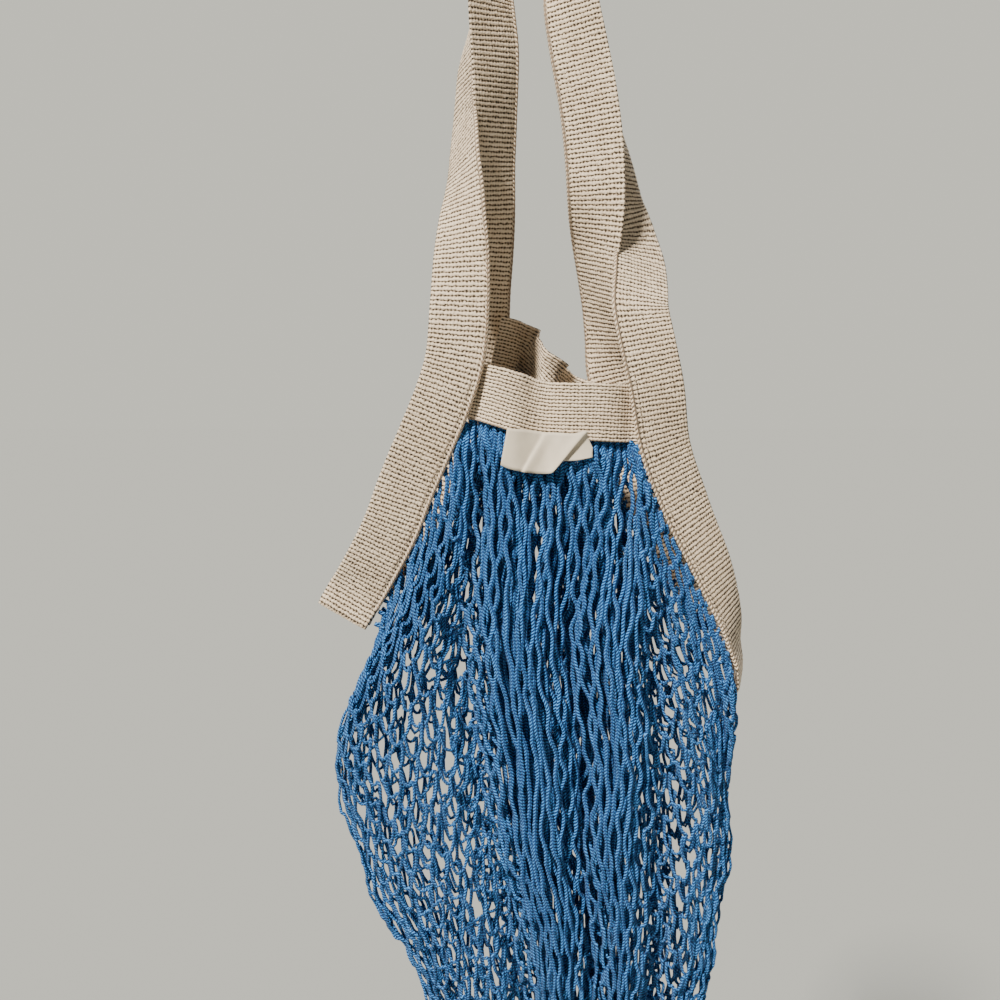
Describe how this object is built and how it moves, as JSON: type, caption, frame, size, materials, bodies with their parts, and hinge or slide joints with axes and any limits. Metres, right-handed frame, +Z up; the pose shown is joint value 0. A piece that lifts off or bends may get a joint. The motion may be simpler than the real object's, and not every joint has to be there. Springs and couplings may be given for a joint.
{
  "type": "string shopping bag",
  "caption": "Knitted cotton net shopping bag with woven webbing bands at its mouth and two long webbing handles, hanging empty.",
  "frame": {"origin": "the hanging point, on the underside of the handles' highest place, where a peg carries them", "axes": "+Z up, -Y towards the front with the label, +X to the right as the front is seen"},
  "size_m": [0.2759, 0.0904, 0.7909],
  "materials": {
    "webbing": "natural undyed cotton webbing, coarse open weave, matt",
    "label_cloth": "off-white cotton tape, fine weave, matt, bare",
    "blue_cotton": "sky blue knitted cotton chain, matt and slightly fuzzy"
  },
  "bodies": {
    "root": {"strap_front": "webbing", "strap_back": "webbing", "band_front": "webbing", "band_back": "webbing", "label": "label_cloth", "net_body": "blue_cotton"}
  },
  "joints": []
}
